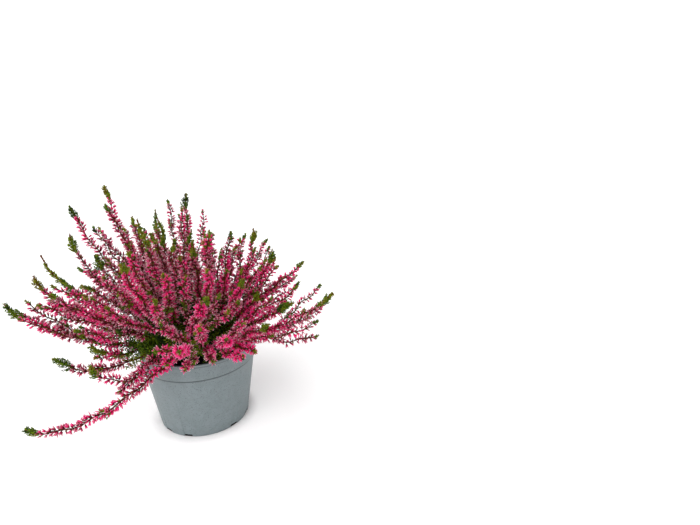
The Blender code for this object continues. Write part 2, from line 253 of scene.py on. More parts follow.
def distance_from(tree, place, middle=(0, 0, 0)):
    """Distance of a place from the middle, in metres."""
    return add(tree, "VectorMath", {0: place, 1: middle}, operation="DISTANCE").outputs["Value"]


def cloudy(tree, size, detail=2.0, rough=0.5):
    """Cloudy noise round 0.5, with patches about that many metres across."""
    inputs = {"Vector": place_of(tree), "Scale": 1 / size, "Detail": detail, "Roughness": rough}
    return add(tree, "TexNoise", inputs).outputs["Fac"]


def relief(tree, shader, height, depth):
    """Raises the shader's surface by height (0 to 1) times depth in metres."""
    node = add(tree, "Bump", {"Height": height, "Distance": depth, "Strength": 1.0})
    tree.links.new(node.outputs["Normal"], shader.inputs["Normal"])


# %% [markdown]
# ## Floor and light
# The plant stands on white paper that glows a little: painted light, which leaves only a faint shadow. Under
# the pot the paper is painted dark as shade, so no light shines from the drain notches. The sheet is so wide
# that its edge shows from no side. The sky is white where it meets the paper and dimmer overhead.
# One large soft lamp fills a wide part of it, above the camera's left shoulder.

# %% Floor, sky and lamp
FLOOR_RADIUS = 40
SHADOW_LIFTING_GLOW = 0.28
FOOT_EDGE = 0.0462
paper, tree, shader = new_finish("white_paper", 0.9, Specular_IOR_Level=0.2)
shader.inputs["Emission Color"].default_value = (1, 1, 1, 1)
away = distance_from(tree, place_of(tree))
# painted light: the paper glows, from nothing at the pot's foot to full strength 12 mm out, to lift its
# shadows
glow = spread_over(tree, away, FOOT_EDGE, FOOT_EDGE + 0.012, 0, SHADOW_LIFTING_GLOW)
tree.links.new(glow, shader.inputs["Emission Strength"])
fleck = ramp(tree, cloudy(tree, 0.05), (0.3, 242, 242, 242), (0.7, 246, 246, 246))
# painted shade: inside the pot's foot the paper is painted nearly black
outside_painted_shade = spread_over(tree, away, FOOT_EDGE - 0.001, FOOT_EDGE)
tree.links.new(mixed(tree, outside_painted_shade, screen(20, 17, 15), fleck), shader.inputs["Base Color"])
FLOOR_SIDES = 96
edge = round_axis(FLOOR_RADIUS, np.arange(FLOOR_SIDES) * math.tau / FLOOR_SIDES, -0.0002)
floor_mesh = bpy.data.meshes.new("floor")
floor_mesh.from_pydata(edge.tolist(), [], [list(range(FLOOR_SIDES))])
floor_mesh.materials.append(paper)
floor = placed("floor", floor_mesh)

SKY_LOW, SKY_HIGH = 1.12, 0.48
sky = bpy.data.worlds.new("sky")
sky.use_nodes = True
tree = sky.node_tree
height = add(tree, "SeparateXYZ", {"Vector": add(tree, "TexCoord").outputs["Generated"]}).outputs["Z"]
background = tree.nodes["Background"]
background.inputs["Color"].default_value = (1, 1, 1, 1)
tree.links.new(spread_over(tree, height, 0.15, 0.5, SKY_LOW, SKY_HIGH), background.inputs["Strength"])
bpy.context.scene.world = sky

LAMP_FROM = (-0.46, -0.58, 1.0)
LAMP_STRENGTH = 2.5
LAMP_WIDTH = math.radians(72)
lamp_data = bpy.data.lights.new("large_soft_lamp", "SUN")
lamp_data.energy = LAMP_STRENGTH
lamp_data.angle = LAMP_WIDTH
lamp = placed("large_soft_lamp", lamp_data)
level = math.hypot(LAMP_FROM[0], LAMP_FROM[1])
lamp.rotation_euler = (math.atan2(level, LAMP_FROM[2]), 0, math.atan2(LAMP_FROM[0], -LAMP_FROM[1]))
lamp.location = LAMP_FROM
print("the lamp stands", round(math.degrees(math.atan2(LAMP_FROM[2], level))), "degrees high")

# %% [markdown]
# ## The pot
# A nursery pot is one thin shell of recycled plastic, wider at the top so that it can be drawn from its
# mould, with a collar that stiffens the rim. A lathe makes it in one go: half of its outline, turned about
# the upright axis. The outline's corners are rounded first, because a rounded edge catches the light.

# %% Outline of the pot
POT_HEIGHT = 0.0905
LIP_RADIUS = 0.0600
COLLAR_RADIUS = 0.0590
COLLAR_HEIGHT = 0.0175
COLLAR_STEP = 0.0012
FOOT_RADIUS = 0.0466
WALL = 0.0012
LIP_HEIGHT = 0.0025
RING_WIDTH = 0.0036
CENTRE_RADIUS = 0.026
CHANNEL_RISE = 0.003
CHANNEL_SLOPE = 0.003


def wall_radius(height):
    """Outer radius of the tapered wall: it grows evenly from the foot to the underside of the collar."""
    share = height / (POT_HEIGHT - COLLAR_HEIGHT)
    return FOOT_RADIUS + share * (COLLAR_RADIUS - COLLAR_STEP - FOOT_RADIUS)


def rounded(outline, steps):
    """Each inner corner P becomes a short curve: (1-t)^2 A + 2t(1-t) P + t^2 B. A and B lie on its two sides,
    as far away as the corner's third number says, or at most 45% of the side."""
    outline, round_by = np.array(outline, float)[:, :2], np.array(outline, float)[1:-1, 2]
    corner = outline[1:-1]
    back, onward = outline[:-2] - corner, outline[2:] - corner
    reach = [np.minimum(round_by, 0.45 * np.linalg.norm(side, axis=1))[:, None] for side in (back, onward)]
    start, end = corner + unit(back) * reach[0], corner + unit(onward) * reach[1]
    t = np.linspace(0, 1, steps)[:, None]
    curve = (1 - t) ** 2 * start[:, None] + 2 * t * (1 - t) * corner[:, None] + t ** 2 * end[:, None]
    return np.vstack([outline[:1], curve.reshape(-1, 2), outline[-1:]])


collar = POT_HEIGHT - COLLAR_HEIGHT
pot_floor = CHANNEL_RISE + WALL
ring = FOOT_RADIUS - RING_WIDTH
CRISP, SOFT = 0.0002, 0.0006
pot_outline = rounded([
    (0, 0, 0),
    (CENTRE_RADIUS, 0, SOFT),
    (CENTRE_RADIUS + CHANNEL_SLOPE, CHANNEL_RISE, SOFT),
    (ring - CHANNEL_SLOPE / 2, CHANNEL_RISE, SOFT),
    (ring, 0, SOFT),
    (FOOT_RADIUS, 0, SOFT),
    (wall_radius(collar), collar, CRISP),
    (COLLAR_RADIUS, collar + 0.0002, CRISP),
    (COLLAR_RADIUS, POT_HEIGHT - LIP_HEIGHT, CRISP),
    (LIP_RADIUS, POT_HEIGHT - LIP_HEIGHT * 0.8, CRISP),
    (LIP_RADIUS, POT_HEIGHT, SOFT),
    (COLLAR_RADIUS - WALL, POT_HEIGHT, SOFT),
    (wall_radius(collar) - WALL, collar, SOFT),
    (wall_radius(pot_floor) - WALL, pot_floor, SOFT),
    (CENTRE_RADIUS + CHANNEL_SLOPE, pot_floor, SOFT),
    (CENTRE_RADIUS, WALL, SOFT),
    (0, WALL, 0),
], 5)
print("outline of", len(pot_outline), "points")

# %% [markdown]
# The foot ring has notches that let water out from under the pot. The turned surface is simply lifted there:
# inside a notch no point of the ring is lower than the notch is high. Where a notch begins, two columns of
# points stand close together, so its side is nearly upright. The drain holes are cut with a Boolean.

# %% Turned surface with notches
NOTCH_WIDTH = 0.0085
NOTCH_HEIGHT = 0.0026
NOTCH_AZIMUTHS = np.radians([15, 45, 75, 135, 165, 195, 225, 255, 315, 345])
DRAIN_SIDE = 0.006
DRAIN_RADIUS = 0.0355
POT_COLUMNS = 160


def lathe(outline, turns):
    """A turned surface: a ring of points for each (r, z) of the outline, and one point for each end."""
    grid = round_axis(outline[1:-1, :1], turns, outline[1:-1, 1:])
    low, high = [[[0, 0, outline[end, 1]]] for end in (0, -1)]
    points = np.concatenate([low, grid.reshape(-1, 3), high])
    return {"points": points, "faces": skin(len(outline) - 2, len(turns))}


half_notch = NOTCH_WIDTH / 2 / FOOT_RADIUS
ease = 0.0002 / FOOT_RADIUS
edges = [NOTCH_AZIMUTHS + side * (half_notch + step) for side in (-1, 1) for step in (-ease, ease)]
even = np.arange(POT_COLUMNS) * math.tau / POT_COLUMNS
turns = np.unique(np.round(np.concatenate([even, *edges]) % math.tau, 7))
pot_surface = lathe(pot_outline, turns)
azimuth = np.arctan2(pot_surface["points"][:, 1], pot_surface["points"][:, 0])
off = np.abs((azimuth[:, None] - NOTCH_AZIMUTHS + math.pi) % math.tau - math.pi).min(axis=1)
outside = np.hypot(*pot_surface["points"][:, :2].T) > (CENTRE_RADIUS + ring) / 2
lifted = np.where((off < half_notch) & outside, NOTCH_HEIGHT, 0)
pot_surface["points"][:, 2] = np.maximum(pot_surface["points"][:, 2], lifted)
print("columns round the pot:", len(turns))

# %% [markdown]
# The plastic is matt and blue-grey, with slightly darker clouds and fine dark specks where the recycled
# colours haven't mixed. The specks are Voronoi textures: the distance to the nearest of many scattered
# points is turned dark where it is very small, and noise leaves some points out. The mould's fine grain is a
# shallow bump. Painted shade darkens a band under the lip and under the collar, and the underside is
# painted nearly black as shade.

# %% Speckled plastic
plastic, tree, shader = new_finish("speckled_grey_plastic", 0.5, Specular_IOR_Level=0.35)
cloud = spread_over(tree, cloudy(tree, 0.009, 6, 0.75), 0.3, 0.7)
base = mixed(tree, cloud, screen(106, 117, 119), screen(121, 131, 134))
# size of a cell, size of its speck as a share of the cell, and strength of the speck
SPECKS = ((0.0036, 0.16, 0.75), (0.0022, 0.22, 0.7), (0.0013, 0.30, 0.55), (0.0009, 0.3, 0.4))
for cell, size, depth in SPECKS:
    inputs = {"Vector": place_of(tree), "Scale": 1 / cell, "Randomness": 1.0}
    near = add(tree, "TexVoronoi", inputs).outputs["Distance"]
    few = spread_over(tree, cloudy(tree, cell * 1.5, 0), 0.43, 0.48)
    speck = combined(tree, spread_over(tree, near, size, size / 2), few)
    base = mixed(tree, combined(tree, speck, depth), base, screen(62, 72, 78))
split = add(tree, "SeparateXYZ", {"Vector": place_of(tree)})
height = split.outputs["Z"]
flat = add(tree, "CombineXYZ", {"X": split.outputs["X"], "Y": split.outputs["Y"]}).outputs["Vector"]
out = distance_from(tree, flat)
# height of a crease, how far below it the painted shade reaches, and strength of the painted shade
CREASES = ((collar, 0.0026, 0.8), (POT_HEIGHT - LIP_HEIGHT, 0.0014, 0.5))
for level, drop, depth in CREASES:
    below = spread_over(tree, height, level - drop, level - drop * 0.45)
    above = spread_over(tree, height, level + 0.0003, level + 0.0001)
    # painted shade: a dark band just under each crease
    crease_shade = combined(tree, combined(tree, below, above), depth)
    base = mixed(tree, crease_shade, base, screen(48, 52, 54))
# painted shade: inside the foot ring and near the floor, the underside is painted nearly black
under = spread_over(tree, out, FOOT_RADIUS - 0.0002, FOOT_RADIUS - 0.0006)
low = spread_over(tree, height, pot_floor + 0.002, pot_floor)
base = mixed(tree, combined(tree, under, low), base, screen(16, 16, 16))
tree.links.new(base, shader.inputs["Base Color"])
tree.links.new(spread_over(tree, cloud, 0, 1, 0.46, 0.6), shader.inputs["Roughness"])
relief(tree, shader, cloudy(tree, 0.0010, 3), 0.00014)

pot = piece_of("nursery_pot", pot_surface, plastic, ["pot"])
drains = bpy.data.meshes.new("drains")
side = DRAIN_SIDE / 2
corners = np.array([[x, y, z] for z in (-1, 1) for y in (-1, 1) for x in (-1, 1)]) * [side, side, 0.003]
corners = corners + [DRAIN_RADIUS, 0, pot_floor - WALL / 2]
drain_points = spun(corners, NOTCH_AZIMUTHS[:, None]).reshape(-1, 3)
box_faces = np.array([(0, 2, 3, 1), (4, 5, 7, 6), (0, 1, 5, 4), (2, 6, 7, 3), (0, 4, 6, 2), (1, 3, 7, 5)])
drain_faces = (box_faces + 8 * np.arange(len(NOTCH_AZIMUTHS))[:, None, None]).reshape(-1, 4)
drains.from_pydata(drain_points.tolist(), [], drain_faces.tolist())
cutter = placed("drains", drains)
cut = pot.modifiers.new("drains", "BOOLEAN")
cut.object = cutter
cut.solver = "EXACT"
cut_mesh = bpy.data.meshes.new_from_object(pot.evaluated_get(bpy.context.evaluated_depsgraph_get()))
pot.modifiers.clear()
pot.data = cut_mesh
bpy.data.objects.remove(cutter)
pot.data.set_sharp_from_angle(angle=math.radians(35))
print("pot with drains:", len(pot.data.polygons), "faces")

# %% [markdown]
# ## The compost
# Nursery compost is peat: a dark, loose mass of crumbs and fibres. Its top is real relief with separate
# crumbs and fibres on it. The relief is a sum of waves in random directions.

# %% Height of the compost's top
SOIL_TOP = 0.0800
SOIL_WAVES = 48
SEAT_GAP = 0.0003
SOIL_RINGS, SOIL_COLUMNS = 46, 150
dice = np.random.default_rng(5)
wave_length = dice.uniform(0.004, 0.028, SOIL_WAVES)
wave_turn = dice.uniform(0, math.tau, SOIL_WAVES)
wave_start = dice.uniform(0, math.tau, SOIL_WAVES)
wave_step = np.stack([np.cos(wave_turn), np.sin(wave_turn)]) * math.tau / wave_length


def soil_height(x, y):
    """Mean level plus the sum of all the waves: each is 1.6% of its own length high."""
    waves = np.cos(x[..., None] * wave_step[0] + y[..., None] * wave_step[1] + wave_start)
    return SOIL_TOP + (waves * wave_length).sum(axis=-1) * 0.016


soil_inset = WALL + SEAT_GAP
soil_edge = wall_radius(collar) - soil_inset
soil_outline = [
    (0, soil_inset),
    (CENTRE_RADIUS - SEAT_GAP, soil_inset),
    (CENTRE_RADIUS + CHANNEL_SLOPE - SEAT_GAP, pot_floor + SEAT_GAP),
    (wall_radius(pot_floor) - soil_inset, pot_floor + SEAT_GAP),
    (soil_edge, collar),
]
soil_outline += [(radius, SOIL_TOP) for radius in np.linspace(soil_edge, 0, SOIL_RINGS)]
soil = lathe(np.array(soil_outline), np.arange(SOIL_COLUMNS) * math.tau / SOIL_COLUMNS)
top = soil["points"][:, 2] > SOIL_TOP - SEAT_GAP
soil["points"][top, 2] = soil_height(*soil["points"][top, :2].T)
soil["tone"] = np.full(len(top), 0.4)
print("compost top from", soil["points"][top, 2].min().round(4), "to", soil["points"][:, 2].max().round(4))

# %% [markdown]
# Crumbs are repeated shapes. One is made as a pattern and stamped many times: each copy is the pattern times
# a size, turned to its own three axes and moved to its own place. All copies are one multiplication of
# arrays, which is far quicker than one object each. The small pale bits are florets that have dropped.

# %% Stamping a pattern
def stamped(pattern, places, axes, sizes, tones):
    """Copies of a pattern: place + size * (x of the pattern along axis 1, y along axis 2, z along axis 3)."""
    turned = np.einsum("pk,nkj->npj", pattern["points"], axes)
    points = places[:, None] + sizes[:, None, None] * turned
    first = np.arange(len(places))[:, None, None] * len(pattern["points"])
    copies = {"points": points.reshape(-1, 3), "faces": (pattern["faces"] + first).reshape(-1, 3)}
    copies["tone"] = np.repeat(tones, len(pattern["points"]))
    if "shade" in pattern:
        copies["tone"] += np.tile(pattern["shade"], len(places))
    if "reach" in pattern:
        copies["reach"] = np.tile(pattern["reach"], len(places))
    return copies


def axes_along(forward, roll):
    """Three unit axes at right angles, the third along forward, the first two turned about it by roll."""
    least = np.eye(3)[np.abs(forward).argmin(axis=-1)]
    side = unit(np.cross(forward, least))
    other = np.cross(forward, side)
    first = np.cos(roll)[:, None] * side + np.sin(roll)[:, None] * other
    return np.stack([first, np.cross(forward, first), forward], axis=1)


crumb_turn = np.arange(5) * math.tau / 5
crumb_rings = [round_axis(0.9, crumb_turn + shift, z) for shift, z in ((0, -0.45), (math.pi / 5, 0.45))]
crumb = {"points": np.vstack([[[0, 0, -1]], *crumb_rings, [[0, 0, 1]]]), "faces": skin(2, 5)}
crumb["points"] *= [1.0, 0.75, 0.6]
crumb["points"] += dice.normal(0, 0.09, crumb["points"].shape)


def strewn(count, shares, growth, power, rise, tones):
    """Crumbs on the compost at edge * sqrt(share) from its middle. Their size is 0.4 mm + growth * u^power,
    and they are lifted by rise[0] * size + rise[1]."""
    out = soil_edge * np.sqrt(dice.uniform(*shares, count))
    turn = dice.uniform(0, math.tau, count)
    size = 0.0004 + growth * dice.uniform(0, 1, count) ** power
    place = round_axis(out, turn, rise[0] * size + rise[1])
    place[:, 2] += soil_height(*place[:, :2].T)
    axes = axes_along(unit(dice.normal(0, 1, (count, 3))), dice.uniform(0, math.tau, count))
    return stamped(crumb, place, axes, size, dice.uniform(*tones, count))


CRUMBS, BITS = 900, 110
EDGE_SHARE = 0.985
crumbs = strewn(CRUMBS, (0, EDGE_SHARE ** 2), 0.0013, 3, (0.2, 0), (0, 1))
bits = strewn(BITS, (0.3, 0.95), 0.0005, 1, (0, 0.0005), (1.6, 2.6))
print("crumbs:", CRUMBS, "pale bits:", BITS)

# %% [markdown]
# ## Tubes along paths
# Stems and fibres are tubes: a ring of points carried along a path. The ring needs two axes at right angles
# to the path at every step. One direction, square to the path's mean direction, is chosen for each path, and
# what it has along the path is taken off at each step, so the ring doesn't twist.

# %% Tubes
def frames_of(lines):
    """Ahead, left and up at each point of each line (L x S x 3). Left is a fixed way less its part ahead."""
    ahead = unit(np.gradient(lines, axis=1))
    mean = unit(ahead.mean(axis=1))
    least = np.eye(3)[np.abs(mean).argmin(axis=-1)]
    side = np.cross(mean, least)[:, None]
    left = unit(side - (side * ahead).sum(axis=-1, keepdims=True) * ahead)
    return ahead, left, np.cross(ahead, left)


def tubes(lines, radii, sides, tones):
    """A closed tube along each line: line + radius * (left cos a + up sin a), with a pole at each end."""
    _, left, up = frames_of(lines)
    angle = np.arange(sides) * math.tau / sides
    around = left[:, :, None] * np.cos(angle)[:, None] + up[:, :, None] * np.sin(angle)[:, None]
    rings = lines[:, :, None] + radii[:, :, None, None] * around
    count, steps = lines.shape[:2]
    bodies = np.concatenate([lines[:, :1], rings.reshape(count, -1, 3), lines[:, -1:]], axis=1)
    first = np.arange(count)[:, None, None] * (steps * sides + 2)
    reach = np.concatenate([[0], np.repeat(np.linspace(0, 1, steps), sides), [1]])
    surface = {"points": bodies.reshape(-1, 3), "faces": (skin(steps, sides) + first).reshape(-1, 3)}
    surface["tone"] = np.repeat(tones, steps * sides + 2)
    surface["reach"] = np.tile(reach, count)
    return surface


def spots(lines, shares):
    """The place and the frame at shares (L x K) of each evenly stepped line (L x S x 3)."""
    at = shares * (lines.shape[1] - 1)
    low = np.minimum(at.astype(int), lines.shape[1] - 2)
    part = (at - low)[..., None]
    row = np.arange(len(lines))[:, None]
    parts = [lines, *frames_of(lines)]
    place, *ways = [values[row, low] * (1 - part) + values[row, low + 1] * part for values in parts]
    return place, *(unit(way) for way in ways)


FIBRES = 140
FIBRE_POINTS = 6
start = soil_edge * 0.93 * np.sqrt(dice.uniform(0, 1, FIBRES))
fibre_lines = round_axis(start, dice.uniform(0, math.tau, FIBRES), 0)[:, None]
bend = np.linspace(0, 1, FIBRE_POINTS)
heading = dice.uniform(0, math.tau, (FIBRES, 1)) + bend * dice.normal(0, 0.9, (FIBRES, 1))
step = dice.uniform(0.0006, 0.0016, (FIBRES, 1))
fibre_lines = fibre_lines + np.cumsum(round_axis(step, heading, 0), axis=1)
inside = np.minimum(1, soil_edge * EDGE_SHARE / np.hypot(fibre_lines[..., 0], fibre_lines[..., 1]))
fibre_lines *= inside[..., None]
fibre_lines[..., 2] = soil_height(fibre_lines[..., 0], fibre_lines[..., 1]) + 0.0002
fibre_radii = np.tile(dice.uniform(0.00012, 0.0003, (FIBRES, 1)), (1, FIBRE_POINTS))
fibres = tubes(fibre_lines, fibre_radii, 4, dice.uniform(0.6, 1, FIBRES))
del fibres["reach"]
print("fibres:", FIBRES)

# %% [markdown]
# The compost's colour runs from nearly black to a warm brown where it has dried. The tone mark gives each
# crumb and fibre its own place on that scale, fine noise breaks up the rest, and the fallen florets take the
# cream at the end of the scale.

# %% Peaty compost
peat, tree, shader = new_finish("peaty_compost", 0.95, Specular_IOR_Level=0.2)
grain = cloudy(tree, 0.0016, 5, 0.65)
EARTH = ((0.1, 13, 10, 9), (0.28, 26, 20, 17), (0.45, 46, 36, 28), (0.68, 92, 74, 54), (0.95, 214, 200, 166))
earth = ramp(tree, combined(tree, mark(tree, "tone"), grain), *EARTH)
tree.links.new(earth, shader.inputs["Base Color"])
relief(tree, shader, grain, 0.0007)
piece_of("compost", joined([soil, crumbs, bits, fibres]), peat, ["root_ball"])

# %% [markdown]
# ## Where the shoots grow
# A nursery heather is several rooted cuttings in one pot. Here there are four, and each has a short trunk
# that forks into many shoots just over the compost. The solid model was grown by this same rule with the
# same numbers, so each stem follows its own solid. The first shoots are listed one by one, because they give
# the plant its outline. The rest fill the widest gaps between them, and the last eight are shorter.

# %% Shoots of the solid model
CUTTINGS = 4
CUTTING_CIRCLE = 0.018
FORK_HEIGHT = 0.0900
LIMB_LENGTH = 0.028
FLOWERS_FROM = 0.050
GREEN_TIP = 0.018
PATH_STEPS = 48
SHOOTS = 54
INNER_SHOOTS = 8
OUTER_LENGTHS, INNER_LENGTHS = (0.110, 0.152), (0.088, 0.118)
FILL_SEED = 11
FILL_CHOICES = 60
FILL_RISES = (18, 86)
TWIG_TRIES, TWIGS_EACH, TWIG_LENGTH = 400, 4, 0.040
BARE_ROOM = 0.0021
LEAFY_ROOM = 0.0026
SPIKE_ROOM = 0.0040
RIM_ROOM = 0.0012
FLORET_ROOM = 0.0052 + 0.0018 / 2
LEAF_ROOM = 0.0030
# cutting, azimuth, sway, rise at the foot, the middle and the tip (degrees), length (metres)
REACHING = (
    (2, 205, -10, 12, 26, 50, 0.165), (3, 255, -90, 36, -25, 14, 0.200), (2, 236, -40, 30, 0, 60, 0.128),
    (2, 256, -25, 34, -2, -25, 0.098), (2, 216, -10, 44, 0, 70, 0.094), (2, 195, 0, 26, 32, 75, 0.155),
    (2, 200, -16, 38, 40, 68, 0.158), (2, 208, -5, 48, 58, 70, 0.130), (1, 184, -5, 24, 48, 80, 0.158),
    (1, 165, 0, 36, 50, 72, 0.178), (1, 143, 5, 55, 52, 88, 0.182), (1, 118, -5, 30, 56, 90, 0.150),
    (1, 92, -5, 47, 58, 88, 0.160), (0, 38, -5, 30, 60, 84, 0.125), (0, 5, -5, 28, 52, 74, 0.116),
    (3, -25, 0, 34, 28, 40, 0.112), (3, -50, 0, 28, 26, 35, 0.116), (3, -14, 0, 14, 20, 56, 0.148),
    (3, 275, 10, 34, 14, 10, 0.092), (3, 302, 8, 36, 12, 8, 0.092), (2, 268, 6, 40, 12, 10, 0.086),
)


def fork_place(cutting):
    """Where that cutting forks: on a circle round the pot's axis."""
    turn = math.tau * (cutting + 0.5) / CUTTINGS
    return np.array([CUTTING_CIRCLE * math.cos(turn), CUTTING_CIRCLE * math.sin(turn), FORK_HEIGHT])


def shoot(cutting, azimuth, sway, rises, length):
    """A stem in equal steps. Its rise is the parabola through the rises at foot, middle and tip."""
    share = (np.arange(PATH_STEPS) + 0.5) / PATH_STEPS
    foot, middle, tip = rises
    rise = foot * (1 - share) * (1 - 2 * share) + 4 * middle * share * (1 - share)
    rise = np.radians(rise + tip * share * (2 * share - 1))
    turn = np.radians(azimuth + sway * share)
    step = round_axis(np.cos(rise), turn, np.sin(rise))
    line = np.vstack([np.zeros(3), np.cumsum(step, axis=0) * length / PATH_STEPS])
    return {"cutting": cutting, "line": fork_place(cutting) + line, "length": length}


def along(plan):
    """Distance from the fork at each point of the stem."""
    return np.linspace(0, plan["length"], len(plan["line"]))


def room_of(plan):
    """Half the width of the solid's room at each point: bare limb, leafy foot, spike, leafy tip."""
    distance = along(plan)
    room = np.where(distance < LIMB_LENGTH, BARE_ROOM, LEAFY_ROOM)
    return np.where((distance > FLOWERS_FROM) & (distance < plan["length"] - GREEN_TIP), SPIKE_ROOM, room)


def clear_of_pot(plan):
    """True if the stem and what stands out from it miss the pot and the floor."""
    line = plan["line"]
    reach = np.where(along(plan) > FLOWERS_FROM, FLORET_ROOM, LEAF_ROOM) + RIM_ROOM
    out = np.hypot(line[:, 0], line[:, 1])
    above = line[:, 2] - reach > POT_HEIGHT
    inside = out + reach < COLLAR_RADIUS - WALL
    outside = out - reach > LIP_RADIUS
    return bool(np.all(above | inside | outside) and np.all(line[:, 2] > reach))


def clear_of_shoots(plan, others):
    """True if the stem keeps its room from the others, except at the fork that its sisters share."""
    forked = LIMB_LENGTH * 0.8
    for other in others:
        apart = np.linalg.norm(plan["line"][:, None] - other["line"][None], axis=2)
        need = room_of(plan)[:, None] + room_of(other)[None]
        if other["cutting"] == plan["cutting"]:
            need = np.where((along(plan) < forked)[:, None] & (along(other) < forked)[None], 0, need)
        if np.any(apart < need):
            return False
    return True


def draw_shoot(draw, cutting, lengths):
    """One shoot drawn at random on its cutting's side. To the right they are up to 14% shorter."""
    azimuth = 360 / CUTTINGS * (cutting + draw.uniform(-0.25, 1.25))
    low, high = (math.sin(math.radians(end)) for end in FILL_RISES)
    foot = math.degrees(math.asin(draw.uniform(low, high)))
    sway = draw.uniform(-10, 10)
    tip = foot + (90 - foot) * 0.35 * draw.random()
    length = draw.uniform(*lengths) * (1 - 0.14 * math.cos(math.radians(azimuth)))
    return shoot(cutting, azimuth, sway, (foot, (foot + tip) / 2, tip), length)


def plan_shoots():
    """The placed shoots, then each time the drawn one whose tip is farthest from all the others."""
    draw = random.Random(FILL_SEED)
    plans = [shoot(*row[:3], row[3:6], row[6]) for row in REACHING]
    for number in range(SHOOTS - len(plans)):
        best, room = None, 0
        inner = len(REACHING) + number >= SHOOTS - INNER_SHOOTS
        for _ in range(FILL_CHOICES):
            plan = draw_shoot(draw, number % CUTTINGS, INNER_LENGTHS if inner else OUTER_LENGTHS)
            ends = [np.linalg.norm(plan["line"][-1] - other["line"][-1]) for other in plans]
            if min(ends) > room and clear_of_pot(plan) and clear_of_shoots(plan, plans):
                best, room = plan, min(ends)
        if best is not None:
            plans.append(best)
    return plans


def plan_twigs(plans):
    """Short leafy twigs round each fork, tried in turn, up to four on a cutting."""
    draw = random.Random(FILL_SEED + 1)
    twigs = []
    for _ in range(TWIG_TRIES):
        cutting = draw.randrange(CUTTINGS)
        foot = draw.uniform(8, 60)
        azimuth = 360 / CUTTINGS * (cutting + draw.random())
        twig = shoot(cutting, azimuth, 0, (foot, foot, foot + 10), TWIG_LENGTH)
        same = sum(other["cutting"] == cutting for other in twigs)
        if same < TWIGS_EACH and clear_of_pot(twig) and clear_of_shoots(twig, plans + twigs):
            twigs.append(twig)
    return twigs


main_shoots = plan_shoots()
twigs = plan_twigs(main_shoots)
for number, plan in enumerate(main_shoots):
    plan["node"] = f"spray_{number + 1:02d}"
print("shoots:", len(main_shoots), "twigs:", len(twigs))

# %% [markdown]
# ## Side shoots
# The solid model keeps its shoots apart, but on a real plant side shoots run beside them and close the gaps.
# A side shoot leaves its parent at an angle and bends back to run nearly the same way. For each new one, many
# are drawn, and the one that lies farthest from all others is kept. Those on the outline stay short, so that
# the tips of their parents stand free. Low on the left front the plant shows its leafy feet, so none of
# these grows there, and none hangs down over the rim.

# %% Side shoots
SIDE_SHOOTS = 104
SIDE_CHOICES = 40
SIDE_STEPS = 24
SHORTEST = 0.028
FREE_TIPS = 11
BOX_ROOM = 0.007
# where side shoots leave and where they end at most, as shares of the parent, and their spread in degrees
SIDE_PLACES = (0.2, 0.55)
FULLEST, FULLEST_OUTSIDE = 0.96, 0.60
SIDE_SPREADS = (16, 38)


def side_shoot(parent, share, turn, spread, length):
    """Steps that turn from leave = ahead cos spread + outward sin spread back towards the parent's way."""
    place, ahead, left, up = [values[0] for values in spots(parent["line"][None], np.array([[share]]))]
    leave = math.cos(spread) * ahead + math.sin(spread) * (math.cos(turn) * left + math.sin(turn) * up)
    bend = (np.arange(SIDE_STEPS) / SIDE_STEPS)[:, None] * 0.75
    step = unit((1 - bend) * leave + bend * (unit(parent["line"][-1] - place) + [0, 0, 0.25]))
    line = np.vstack([place, place + np.cumsum(step, axis=0) * length / SIDE_STEPS])
    return {"cutting": parent["cutting"], "line": line, "length": length, "parent": parent}


LEAFY_PLACE = np.array([-0.042, -0.052, 0.105])
LEAFY_SIZE = np.array([0.031, 0.035, 0.018])


def in_leafy_place(points):
    """True for points in the egg-shaped place where leafy feet show: ((p - middle) / size)^2 is under 1."""
    return (((points - LEAFY_PLACE) / LEAFY_SIZE) ** 2).sum(axis=-1) < 1


def clear_outline(plan):
    """True if the side shoot stays over the rim, off the leafy place and inside the solid model's box. The
    plant's second shoot gets none."""
    line = plan["line"]
    low, high = np.array(solid_box[0]) + BOX_ROOM, np.array(solid_box[1]) - BOX_ROOM
    low[2] = POT_HEIGHT + BOX_ROOM
    leafy = in_leafy_place(line).any() or plan["parent"] is main_shoots[1]
    return bool(not leafy and np.all(line > low) and np.all(line < high))


draw = random.Random(23)
side_shoots = []
free = main_shoots[:FREE_TIPS]
grown = np.concatenate([plan["line"][20::4] for plan in main_shoots])
while len(side_shoots) < SIDE_SHOOTS:
    best, room = None, 0
    for _ in range(SIDE_CHOICES):
        parent = draw.choice(main_shoots)
        share = draw.uniform(*SIDE_PLACES)
        spread = math.radians(draw.uniform(*SIDE_SPREADS))
        fullest = FULLEST_OUTSIDE if any(parent is other for other in free) else FULLEST
        length = parent["length"] * (draw.uniform(fullest - 0.22, fullest) - share)
        plan = side_shoot(parent, share, draw.uniform(0, math.tau), spread, length)
        if length < SHORTEST or not clear_outline(plan):
            continue
        gap = np.linalg.norm(plan["line"][10::3][:, None] - grown[None], axis=2).min(axis=1).mean()
        if gap > room:
            best, room = plan, gap
    side_shoots.append(best)
    grown = np.vstack([grown, best["line"][6::3]])
print("side shoots:", len(side_shoots), "the last one", round(room * 1000, 1), "mm from its neighbours")

# %% [markdown]
# Low at the left front one more shoot sags over the rim and rises again at its tip. It is listed like the
# outline. Two low shoots on the left carry two side shoots each, drawn again until they lie high enough.

